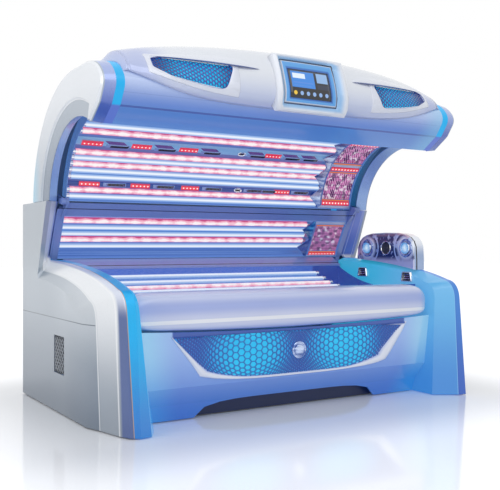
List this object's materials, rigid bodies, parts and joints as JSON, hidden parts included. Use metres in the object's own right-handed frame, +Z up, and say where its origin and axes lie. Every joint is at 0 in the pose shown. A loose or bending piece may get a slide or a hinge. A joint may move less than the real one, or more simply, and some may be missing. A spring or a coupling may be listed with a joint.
{
  "type": "tanning bed",
  "caption": "Lie-down tanning bed: curved acrylic bench over lamps, lamp wall behind it, and an arched lamp canopy with brow and display that swings down on a rear hinge.",
  "frame": {"origin": "on the floor, at the middle of the overall box", "axes": "+X along the bed towards its head end, +Y from the open front to the rear, +Z up"},
  "size_m": [2.4, 1.504, 2.0212],
  "materials": {
    "silver": "satin silver paint",
    "white_silver": "pearl white silver",
    "lavender": "satin lavender blue",
    "light_blue": "lit translucent blue",
    "cyan": "lit cyan",
    "acrylic": "clear polished acrylic",
    "lamp": "white lit tube",
    "pink_lamp": "pink lit tube",
    "led": "red lit strip",
    "mirror": "bright reflector",
    "chrome": "mirror chrome",
    "dark": "dark navy",
    "steel": "grey coated",
    "glass_blue": "lit blue lens"
  },
  "bodies": {
    "base": {"back_lamp_1": "lamp", "back_lamp_2": "pink_lamp", "back_lamp_3": "lamp", "back_lamp_4": "lamp", "back_lamp_5": "pink_lamp", "back_reflector": "mirror", "ballast_tray": "steel", "base_pan": "steel", "bench_acrylic": "acrylic", "bench_lamp_bank": "lamp", "bench_reflector": "mirror", "cooling_fan": "dark", "foot_left": "dark", "foot_right": "dark", "front_badge": "chrome", "front_grille": "cyan", "front_panel": "lavender", "front_rail": "lavender", "head_pod": "chrome", "head_vent_front": "chrome", "head_vent_rear": "chrome", "hinge_beam": "lavender", "left_end_panel": "silver", "left_hinge_post": "steel", "left_light_panel": "light_blue", "rear_cover": "silver", "rear_ledge": "lavender", "right_end_panel": "silver", "right_hinge_post": "steel", "right_light_panel": "light_blue", "shoulder_tanner": "mirror", "toe_kick": "dark", "vent_grille": "dark"},
    "canopy": {"canopy_front_lamp_bank": "lamp", "canopy_hood": "lavender", "canopy_lamp_1": "lamp", "canopy_lamp_2": "pink_lamp", "canopy_lamp_3": "lamp", "canopy_lamp_4": "lamp", "canopy_lamp_5": "pink_lamp", "canopy_lamp_6": "lamp", "canopy_lamp_7": "pink_lamp", "canopy_lamp_8": "pink_lamp", "canopy_lamp_9": "lamp", "canopy_left_cap": "silver", "canopy_reflector": "mirror", "canopy_right_cap": "silver", "canopy_shell": "silver", "display": "dark", "face_tanner": "mirror", "led_bar_lower": "led", "led_bar_upper": "led", "left_cap_light": "cyan", "left_top_grille": "cyan", "right_cap_light": "cyan", "right_top_grille": "cyan", "top_cover": "white_silver"},
    "outlet_front": {"pod_outlet_front": "glass_blue"},
    "outlet_rear": {"pod_outlet_rear": "glass_blue"}
  },
  "joints": [
    {"name": "canopy_lift", "type": "hinge", "parent": "base", "child": "canopy", "pos_m": [0, 0.268, 1.19], "axis": [1, 0, 0], "range_deg": [0, 45]},
    {"name": "outlet_front_turn", "type": "hinge", "parent": "base", "child": "outlet_front", "pos_m": [1.07, -0.286, 0.914], "axis": [0, 0, 1], "range_deg": [-15, 15]},
    {"name": "outlet_rear_turn", "type": "hinge", "parent": "base", "child": "outlet_rear", "pos_m": [1.07, 0.105, 0.914], "axis": [0, 0, 1], "range_deg": [-15, 15]}
  ]
}
